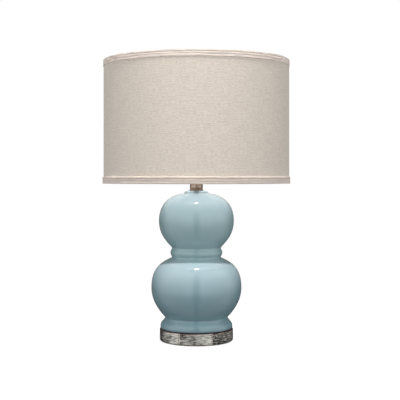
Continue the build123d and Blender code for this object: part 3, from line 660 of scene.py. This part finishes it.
# ---------------------------------------------------------------------------------------------- body
@dataclass
class GourdBody:
    """The hollow glazed ceramic: foot, lower belly, waist ring, upper belly and collar."""

    foot_z: float = 26.6
    wall: float = 5.5
    pipe_hole_r: float = 5.16
    foot_seat_r: float = 72.4
    foot_belly: Point = (73.4, 30.8)
    foot_crease: Point = (63.1, 48.5)
    lower_belly: Point = (91.5, 109.5)
    waist_low: Point = (49.8, 169.4)
    waist_high: Point = (49.8, 189.8)
    waist_ring_r: float = 52.8
    upper_belly: Point = (76.1, 244.6)
    crown: Point = (30.9, 298.5)
    collar_r: float = 24.4
    collar_top_r: float = 14.6
    collar_top_z: float = 305.1
    collar_flare_h: float = 2.5
    # how full each half of a belly is: share kept upright, then where the curve turns in
    foot_shape: Fullness = (0.47, 0.39, 0.44)
    lower_under: Fullness = (0.50, 0.34, 0.17)
    lower_over: Fullness = (0.70, 0.42, 0.135)
    upper_under: Fullness = (0.525, 0.43, 0.23)
    upper_over: Fullness = (0.49, 0.69, 0.10)
    # share of the wall by which the cavity's creases keep clear of the outer ones
    crease_cover: float = 0.7
    ring_fullness: float = 0.45
    # control points of the collar: where the flare turns up, and where the dome turns in and lies flat
    flare_turn: float = 0.3
    dome_turn: float = 0.25
    dome_flat: float = 0.45
    foot_bulge: float = 0.22
    seat_round: float = 1.2
    # pooled glaze rounds the creases
    waist_round: float = 1.6
    foot_round: float = 1.2
    curve_steps: int = 20
    cavity_steps: int = 8
    foot_steps: int = 10
    ring_steps: int = 12
    flare_steps: int = 8
    dome_steps: int = 10
    segments: int = 192

    def curve(self, belly: Point, crease: Point, fullness: Fullness, steps: int) -> list[Point]:
        """Sample the curve from a belly to a crease.

        Args:
            belly: radius and height of the belly, where the curve is upright.
            crease: radius and height of the crease.
            fullness: how long the curve stays upright, and where it turns in.
            steps: number of steps.

        Returns:
            The points from belly to crease.
        """
        rise, reach, lift = fullness
        width = belly[0] - crease[0]
        height = crease[1] - belly[1]
        upright = (belly[0], belly[1] + rise * height)
        turn = (crease[0] + reach * width, crease[1] - lift * height)
        return bezier([belly, upright, turn, crease], steps)

    def side(self, inset: float, steps: int) -> list[Point]:
        """The side from foot crease to crown, one inset further in.

        Args:
            inset: distance inside the outer face, in millimetres.
            steps: steps on each half of a belly.

        Returns:
            The points from the foot crease up to the crown.
        """
        clear = self.crease_cover * inset

        def inward(point: Point, raised: float = 0.0) -> Point:
            return (point[0] - inset, point[1] + raised)

        lower, upper = inward(self.lower_belly), inward(self.upper_belly)
        foot = inward(self.foot_crease, clear)
        low, high = inward(self.waist_low, -clear), inward(self.waist_high, clear)
        crown = (self.crown[0], self.crown[1] - inset)
        points = self.curve(lower, foot, self.lower_under, steps)[::-1]
        points += self.curve(lower, low, self.lower_over, steps)[1:]
        if inset == 0:
            points += self.waist()
        points += self.curve(upper, high, self.upper_under, steps)[::-1]
        points += self.curve(upper, crown, self.upper_over, steps)[1:]
        return points

    def waist(self) -> list[Point]:
        """The raised ring between the bellies, which rises out of a hollow on each side."""
        crest = (self.waist_ring_r, (self.waist_low[1] + self.waist_high[1]) / 2)

        def swell(crease: Point) -> list[Point]:
            rise = self.ring_fullness * (crest[1] - crease[1])
            turns = [(crease[0], crease[1] + rise), (crest[0], crest[1] - rise)]
            return bezier([crease, *turns, crest], self.ring_steps)

        return swell(self.waist_low)[1:] + swell(self.waist_high)[-2:0:-1]

    def outline(self) -> list[Point]:
        """The whole closed section, outside first, from the foot up and back down the cavity."""
        foot_in = self.foot_belly[0] - self.wall
        bulge = self.foot_bulge * (self.foot_belly[0] - self.foot_seat_r)
        edge = self.seat_round
        points = [(foot_in, self.foot_z), (self.foot_seat_r - edge, self.foot_z)]
        points += [(self.foot_seat_r - edge / 4, self.foot_z + edge / 3)]
        points += [(self.foot_seat_r, self.foot_z + edge)]
        points += [(self.foot_belly[0] - bulge, (self.foot_z + self.foot_belly[1]) / 2)]
        points += self.curve(self.foot_belly, self.foot_crease, self.foot_shape, self.foot_steps)[:-1]
        points += self.side(0.0, self.curve_steps)
        points += self.collar()
        points += [(self.pipe_hole_r, self.collar_top_z), (self.pipe_hole_r, self.crown[1] - self.wall)]
        points += self.side(self.wall, self.cavity_steps)[::-1]
        crease_in = self.foot_crease[0] - self.wall
        clear = self.crease_cover * self.wall
        points += [(crease_in, self.foot_crease[1] - clear), (foot_in, self.foot_belly[1])]
        return points

    def collar(self) -> list[Point]:
        """The flare from the shoulder into the low dome that carries the neck."""
        crown_r, crown_z = self.crown
        belly_r, belly_z = self.upper_belly
        _, reach, lift = self.upper_over
        # the flare leaves the shoulder at the shoulder's own slope
        slope = lift * (crown_z - belly_z) / (reach * (belly_r - crown_r))
        run = (crown_r - self.collar_r) / 2
        edge = (self.collar_r, crown_z + self.collar_flare_h)
        flare = [
            self.crown,
            (self.collar_r + run, crown_z + run * slope),
            (self.collar_r, crown_z + self.flare_turn * self.collar_flare_h),
            edge,
        ]
        dome = [
            edge,
            (self.collar_r, self.collar_top_z - self.dome_turn * (self.collar_top_z - crown_z)),
            (self.collar_top_r + self.dome_flat * (self.collar_r - self.collar_top_r), self.collar_top_z),
            (self.collar_top_r, self.collar_top_z),
        ]
        return bezier(flare, self.flare_steps)[1:] + bezier(dome, self.dome_steps)[1:]

    def build(self, glaze: Material) -> None:
        """Turn the body, soften its creases with pooled glaze and dress it."""
        body = turned("glazed_body", self.outline(), self.segments)
        bevel_rings(body, [self.waist_low[1], self.waist_high[1]], self.waist_round)
        bevel_rings(body, [self.foot_crease[1]], self.foot_round)
        finish_piece(body, "stand", glaze, "glaze", "ceramic_vase")


@dataclass
class LeafedBase:
    """The turned wooden disc under the body."""

    radius: float = 74.5
    bottom_z: float = 1.0
    top_z: float = 25.4
    low_edge_r: float = 4.5
    top_edge_r: float = 0.8
    well_r: float = 17.0
    well_top_z: float = 10.5
    hole_r: float = 5.16
    rim_step: float = 3.0
    rim_rows: int = 5
    # a loop at this share of the radius keeps the flat faces even
    loop_share: float = 0.6
    segments: int = 224

    def build(self, leaf: Material) -> None:
        """Turn the disc, wrap its UV map and dress it."""
        low = self.low_edge_r
        top = self.top_edge_r
        loop_r = self.loop_share * self.radius
        points = [(self.well_r, self.bottom_z), (loop_r, self.bottom_z)]
        points += arc((self.radius - low, self.bottom_z + low), low, -90, 0, 8)
        points += [(self.radius, self.bottom_z + low + self.rim_step * (i + 1)) for i in range(self.rim_rows)]
        points += arc((self.radius - top, self.top_z - top), top, 0, 90, 4)
        points += [(loop_r, self.top_z), (self.hole_r, self.top_z)]
        points += [(self.hole_r, self.well_top_z), (self.well_r, self.well_top_z)]
        disc = turned("leafed_disc", points, self.segments)
        wrap_uv(disc, self.radius)
        finish_piece(disc, "stand", leaf, "silver_leaf", "base_disc")


@dataclass
class Neck:
    """The spool-shaped metal neck between body and harp."""

    bottom_z: float = 305.1
    height: float = 26.0
    flare_r: float = 13.9
    waist_r: float = 12.9
    swell_r: float = 13.3
    lip_h: float = 2.2
    lip_round: float = 0.8
    # the lip's inner edge: how far its flat ends short, and how the face falls to the waist
    lip_edge: float = 0.6
    fall_r: float = 0.25
    fall_h: float = 1.1
    bore_r: float = 5.16
    pocket_r: float = 11.0
    segments: int = 96

    def build(self) -> None:
        """Turn the neck with its two lips and dress it."""
        top = self.bottom_z + self.height
        lip = self.lip_h
        round_r = self.lip_round
        points = [(self.pocket_r, self.bottom_z)]
        points += arc((self.flare_r - round_r, self.bottom_z + round_r), round_r, -90, 0, 4)
        points += [(self.flare_r, self.bottom_z + lip - self.lip_edge)]
        middle = self.bottom_z + self.height / 2
        low, high = self.bottom_z + lip, top - lip
        rings = [
            (self.flare_r - self.fall_r, low),
            (self.waist_r + self.fall_r, low + self.fall_h),
            (self.waist_r, (low + middle) / 2),
        ]
        points += rings + [(self.swell_r, middle)] + [(r, low + high - z) for r, z in rings[::-1]]
        points += [(self.flare_r, top - lip + self.lip_edge)]
        points += arc((self.flare_r - round_r, top - round_r), round_r, 0, 90, 4)
        points += [(self.bore_r, top), (self.bore_r, high), (self.pocket_r, high)]
        neck = turned("spool_neck", points, self.segments)
        modifier = neck.modifiers.new("smooth", "SUBSURF")
        modifier.levels = modifier.render_levels = 1
        clear_selection()
        bpy.context.view_layer.objects.active = neck
        bpy.ops.object.modifier_apply(modifier=modifier.name)
        finish_piece(neck, "stand", Finish.ANTIQUE_SILVER.dressed(), "nickel", "neck")


# ---------------------------------------------------------------------------------------------- shade
@dataclass
class DrumShade:
    """The drum shade: linen over a white liner, with self-cloth tape round both edges."""

    radius: float = 188.0
    bottom_z: float = 319.7
    top_z: float = 568.7
    linen_thick: float = 0.6
    liner_thick: float = 1.0
    wire_r: float = 1.6
    cloth: float = 0.8
    tape_h: float = 13.5
    tape_inner_h: float = 7.0
    bottom_proud: float = 2.5
    top_proud: float = 0.8
    # share of the bead's height above the linen that the tape's flat skin has
    skin_share: float = 0.75
    # the tape is folded flat twice: share of its height at each fold, the fold's half width and its depth
    folds: tuple[float, float] = (0.33, 0.66)
    fold_half: float = 0.05
    fold_depth: float = 0.28
    # its soft unevenness: waves in a full turn, height of one wave and how far it rises
    puff_waves: float = 70.0
    puff_height: float = 4.0
    puff_rise: float = 0.45
    linen_rows: int = 30
    segments: int = 288

    def build(self, linen: Material, tape: Material) -> None:
        """Make linen, liner and both tapes."""
        low, high = self.bottom_z + self.cloth, self.top_z - self.cloth
        liner_r = self.radius - self.linen_thick
        levels = [low + (high - low) * i / self.linen_rows for i in range(self.linen_rows + 1)]
        section = [(self.radius, z) for z in levels] + [(liner_r, z) for z in reversed(levels)]
        cloth = turned("linen_cover", section, self.segments)
        wrap_uv(cloth, self.radius)
        finish_piece(cloth, "shade", linen, "linen", "shade_linen")
        inner = liner_r - self.liner_thick
        section = [(inner, low), (liner_r, low), (liner_r, high), (inner, high)]
        liner = turned("styrene_liner", section, self.segments)
        finish_piece(liner, "shade", Finish.STYRENE.dressed(), "styrene", "shade_liner")
        self.tape("bottom_tape", self.bottom_z, 1, self.bottom_proud, tape, "bottom_trim")
        self.tape("top_tape", self.top_z, -1, self.top_proud, tape, "top_trim")

    def tape(self, name: str, edge_z: float, inward: int, proud: float, cloth: Material, node: str) -> None:
        """Fold one tape over an edge of the shade.

        Args:
            name: the piece's name.
            edge_z: height of the shade's edge.
            inward: 1 at the bottom edge, -1 at the top edge.
            proud: how far the tape's bead stands out of the linen.
            cloth: its finish.
            node: the CAD node that it stands for.
        """
        ring_inner = self.radius - self.linen_thick - self.liner_thick - 2 * self.wire_r

        def at(radius: float, depth: float) -> Point:
            return (radius, edge_z + inward * depth)

        # each point is a small step off the skin, the bead or the ring, at a depth from the shade's edge
        skin = self.radius + self.skin_share * proud
        crest = skin + 0.1
        outside = [at(skin - 0.9, 0.0), at(skin - 0.25, 0.25), at(skin, 1.0)]
        for share in self.folds:
            outside += [
                at(crest, (share - 0.12) * self.tape_h),
                at(crest, (share - self.fold_half) * self.tape_h),
                at(crest - self.fold_depth, share * self.tape_h),
                at(crest, (share + self.fold_half) * self.tape_h),
            ]
        # last comes the rolled edge that is stitched to the linen
        bead = self.radius + proud
        outside += [
            at(skin + 0.05, self.tape_h - 2.4),
            at(bead - 0.1, self.tape_h - 1.5),
            at(bead, self.tape_h - 0.9),
            at(bead - 0.4, self.tape_h - 0.25),
            at(self.radius + 0.4 * proud, self.tape_h),
            at(self.radius + 0.02, self.tape_h - 0.4),
        ]
        inside = [
            at(self.radius + 0.02, self.cloth),
            at(ring_inner, self.cloth),
            at(ring_inner, self.tape_inner_h),
            at(ring_inner - 0.6 * self.cloth, self.tape_inner_h + 0.1),
            at(ring_inner - self.cloth, self.tape_inner_h - 0.5),
            at(ring_inner - self.cloth, 0.8),
            at(ring_inner - 0.3 * self.cloth, 0.1),
            at(ring_inner + 1.0, 0.0),
        ]
        piece = turned(name, outside + inside, self.segments)
        reach = (self.radius + 0.2 * proud) * MM

        def puff(point: Vector) -> Vector:
            """Let the outer skin rise and fall as soft cloth does."""
            radius = math.hypot(point.x, point.y)
            if radius < reach:
                return point
            way = point.xy.normalized() * (self.puff_waves / TURN)
            swell = noise.noise(Vector((way.x, way.y, point.z / (self.puff_height * MM))))
            scale = 1 + self.puff_rise * MM * swell / radius
            return Vector((point.x * scale, point.y * scale, point.z))

        move_points(piece, puff)
        wrap_uv(piece, self.radius)
        finish_piece(piece, "shade", cloth, "linen", node)


# ---------------------------------------------------------------------------------------------- hardware
@dataclass
class Hardware:
    """CAD nodes whose shape stays, listed by the finish that they take."""

    nodes: dict[Finish, tuple[str, ...]]

    def dress(self) -> None:
        """Put each finish on its nodes."""
        for finish, names in self.nodes.items():
            for name in names:
                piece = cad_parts[name]
                piece.data.materials.clear()
                piece.data.materials.append(finish.dressed())
                LOG.info("node %s has finish %s", name, finish.value.name)


# ---------------------------------------------------------------------------------------------- studio
@dataclass(frozen=True)
class SoftBox:
    """One area light.

    place and aim are points in metres, size is width and height in metres, and level is the brightness of a
    rectangular face, where 1 is white. A round face is a little brighter. mirrored tells whether glossy
    surfaces show the light.
    """

    name: str
    place: Place
    aim: Place
    size: Point
    level: float
    colour: tuple[float, float, float] = (1.0, 1.0, 1.0)
    mirrored: bool = False
    round_face: bool = False

    def hang(self) -> None:
        """Make the light and face it to its aim."""
        data = bpy.data.lights.new(self.name, "AREA")
        data.shape = "ELLIPSE" if self.round_face else "RECTANGLE"
        data.size, data.size_y = self.size
        data.energy = self.level * math.pi * self.size[0] * self.size[1]
        data.color = self.colour
        light = bpy.data.objects.new(self.name, data)
        light.location = self.place
        light.rotation_euler = (Vector(self.aim) - Vector(self.place)).to_track_quat("-Z", "Y").to_euler()
        light.visible_glossy = self.mirrored
        light.visible_camera = False
        bpy.context.scene.collection.objects.link(light)


# two tall boxes in front and one overhead fill; the catch light is what the glaze mirrors, the key throws the
# shade's shadow on the body, and the last one stands behind and reaches the liner through the open top
LIGHTS = (
    SoftBox("left_box", (-1.35, -1.5, 1.25), (0, 0, 0.4), (1.1, 1.5), 1.88),
    SoftBox("right_box", (1.35, -1.5, 1.25), (0, 0, 0.4), (1.1, 1.5), 1.88),
    SoftBox("top_box", (0, -0.4, 2.0), (0, -0.1, 0.3), (1.8, 1.8), 1.2),
    SoftBox(
        "catch_light", (0, -0.33, 1.95), (0, -0.063, 0.281), (0.22, 0.26), 24.0,
        mirrored=True, round_face=True,
    ),
    SoftBox("key", (0, -0.4, 1.96), (0, -0.075, 0.25), (0.12, 0.11), 700.0, (1.0, 0.96, 0.94)),
    SoftBox("liner_light", (0, 0.55, 1.9), (0, -0.16, 0.45), (0.3, 0.3), 18.0),
)


@dataclass
class Studio:
    """White sweep, surroundings and the camera at the photograph's place."""

    distance: float = 1.896
    height: float = 0.334
    lens: float = 83.86
    sensor: float = 36.0
    # the photograph's axis is at column 195.9 and its horizon at row 175.9 of 400, both counted from 0
    axis_column: float = 195.9
    horizon_row: float = 175.9
    frame_size: int = 400
    floor_r: float = 6.0
    # the floor lies this far under the lamp's feet, so that the two never share a face
    floor_gap: float = 0.0004
    floor_colour: str = "#888888"
    floor_lift: float = 0.9
    shadow_reach: float = 0.35
    ambient: float = 0.52
    screen_level: float = 1.25
    gap_level: float = 0.1
    back_level: float = 0.06
    low_level: float = 0.3
    # bearings in degrees from the front: where the gap ends, and where the screens fade out
    gap_bearings: Point = (5.0, 14.0)
    fade_bearings: Point = (85.0, 130.0)
    # upward parts of a direction between which the floor's dimmer light gives way to the screens
    low_rise: Point = (-0.95, 0.1)

    def camera(self) -> None:
        """Place a level camera in front of the lamp, with the small shift of the photograph's framing."""
        data = bpy.data.cameras.new("camera")
        data.lens = self.lens
        data.sensor_width = self.sensor
        centre = (self.frame_size - 1) / 2
        data.shift_x = (centre - self.axis_column) / self.frame_size
        data.shift_y = -(centre - self.horizon_row) / self.frame_size
        eye = bpy.data.objects.new("camera", data)
        eye.location = (0, -self.distance, self.height)
        eye.rotation_euler = (math.pi / 2, 0, 0)
        bpy.context.scene.collection.objects.link(eye)
        bpy.context.scene.camera = eye

    def floor(self) -> None:
        """Lay a pale floor that the camera sees as white, with the lamp's soft shadow on it."""
        clear_selection()
        spot = (0, 0, -self.floor_gap)
        bpy.ops.mesh.primitive_circle_add(vertices=96, radius=self.floor_r, fill_type="NGON", location=spot)
        ground = bpy.context.object
        ground.name = "floor"
        bpy.ops.object.transform_apply(location=True)
        # light reaches mirrors from the surroundings alone, so the floor stays out of them
        ground.visible_glossy = False
        material, tree, output = new_material("white_sweep")
        ray = add_node(tree, "LightPath")
        place = add_node(tree, "TexCoord").outputs["Object"]
        away = add_node(tree, "VectorMath", {".operation": "LENGTH"}, {0: place})
        # near the lamp the floor shows its shadow, further off it is plain white
        near = self.band(tree, away.outputs["Value"], (self.shadow_reach, 2 * self.shadow_reach), 0.0, 1.0)
        diffuse = add_node(tree, "BsdfDiffuse", {"Color": linear(self.floor_colour)})
        lift = add_node(tree, "Emission", {"Color": (1, 1, 1, 1), "Strength": self.floor_lift})
        shaded = add_node(tree, "AddShader", links={0: diffuse.outputs[0], 1: lift.outputs[0]})
        plain = add_node(tree, "Emission", {"Color": (1, 1, 1, 1), "Strength": 1.0})
        white = add_node(tree, "MixShader", links={"Fac": near, 1: shaded.outputs[0], 2: plain.outputs[0]})
        seen = self.seen_rays(tree, ray)
        mixed = add_node(tree, "MixShader", links={"Fac": seen, 1: diffuse.outputs[0], 2: white.outputs[0]})
        tree.links.new(mixed.outputs[0], output.inputs["Surface"])
        ground.data.materials.append(material)

    @staticmethod
    def band(tree: Tree, value: Socket, limits: Point, start: float, end: float) -> Socket:
        """Add a smooth step from one level to another.

        Args:
            tree: the node tree.
            value: what the step runs along.
            limits: the values where it starts and ends.
            start: the level before the step.
            end: the level after it.

        Returns:
            The level.
        """
        settings = {
            ".interpolation_type": "SMOOTHSTEP",
            "From Min": limits[0],
            "From Max": limits[1],
            "To Min": start,
            "To Max": end,
        }
        return add_node(tree, "MapRange", settings, {"Value": value}).outputs["Result"]

    @staticmethod
    def seen_rays(tree: Tree, ray: Node) -> Socket:
        """Pick out the rays that show the background: to the camera, off metal and glaze, and through glass.

        Args:
            tree: the node tree.
            ray: its Light Path node.

        Returns:
            A value that is 1 on those rays.
        """
        first = maths(tree, "MAXIMUM", ray.outputs["Is Camera Ray"], ray.outputs["Is Glossy Ray"])
        return maths(tree, "MAXIMUM", first, ray.outputs["Is Transmission Ray"])

    def world(self) -> None:
        """White surroundings to the eye, to metal and to glass, and a plain level of light.

        In mirrors the white is two tall screens, with a gap where the camera stands and dimmer sides behind.
        """
        world = bpy.data.worlds.new("studio")
        world.use_nodes = True
        bpy.context.scene.world = world
        tree = world.node_tree
        tree.nodes.clear()
        output = add_node(tree, "OutputWorld")
        ray = add_node(tree, "LightPath")
        way = add_node(tree, "SeparateXYZ", links={"Vector": add_node(tree, "TexCoord").outputs["Generated"]})
        front = maths(tree, "MULTIPLY", way.outputs["Y"], -1.0)
        bearing = maths(tree, "ABSOLUTE", maths(tree, "ARCTAN2", way.outputs["X"], front))
        gap = self.band(tree, bearing, tuple(map(math.radians, self.gap_bearings)), self.gap_level, 1.0)
        side = self.band(tree, bearing, tuple(map(math.radians, self.fade_bearings)), 1.0, self.back_level)
        below = self.band(tree, way.outputs["Z"], self.low_rise, self.low_level, 1.0)
        screens = maths(tree, "MULTIPLY", maths(tree, "MULTIPLY", gap, side), below)
        lit = maths(tree, "MULTIPLY", screens, self.screen_level)
        mirrored = add_node(tree, "Mix", {"A": 1.0}, {"Factor": ray.outputs["Is Glossy Ray"], "B": lit})
        links = {"Factor": self.seen_rays(tree, ray), "B": mirrored.outputs["Result"]}
        strength = add_node(tree, "Mix", {"A": self.ambient}, links)
        sky = add_node(tree, "Background", {"Color": (1, 1, 1, 1)}, {"Strength": strength.outputs["Result"]})
        tree.links.new(sky.outputs[0], output.inputs["Surface"])

    def build(self) -> None:
        """Set up camera, floor, surroundings and lights."""
        view = bpy.context.scene.view_settings
        view.view_transform = "Standard"
        self.camera()
        self.floor()
        self.world()
        for box in LIGHTS:
            box.hang()


def main() -> None:
    """Build every sub-assembly in order."""
    logging.basicConfig(level=logging.INFO, format="%(name)s: %(message)s")
    GourdBody().build(Glaze().material())
    LeafedBase().build(SilverLeaf().material())
    Neck().build()
    DrumShade().build(
        Linen().material(),
        Linen(name="linen_tape", light="#e6dbd1", dark="#ccbeb4", dash_mm=20.0, slub_mm=60.0).material(),
    )
    threaded = ("lamp_pipe", "base_washer", "lock_washer", "base_nut", "cap_set_screw", "terminal_screws")
    harp = ("harp_saddle", "harp", "ferrule_left", "ferrule_right", "harp_stud", "finial")
    Hardware(
        {
            Finish.BRIGHT_STEEL: (*threaded, "switch_shaft"),
            Finish.ANTIQUE_SILVER: (*harp, "socket_cap", "socket_shell"),
            Finish.BRASS: ("screw_shell", "centre_contact", "bulb_contact"),
            Finish.PHENOLIC: ("socket_body", "switch_knob"),
            Finish.WHITE_WIRE: ("spider_frame", "bottom_ring"),
            Finish.RUBBER: ("base_bumpers",),
            # the dark seat paints the shade in the joint between body and base
            Finish.SEAT: ("seating_gasket",),
            Finish.WHITE_NYLON: ("cord_bushing",),
            Finish.FIBRE: ("shell_insulator",),
            Finish.ALUMINIUM: ("bulb_cap",),
            Finish.FROSTED_GLASS: ("bulb_glass",),
        }
    ).dress()
    Studio().build()


if __name__ == "__main__":
    main()
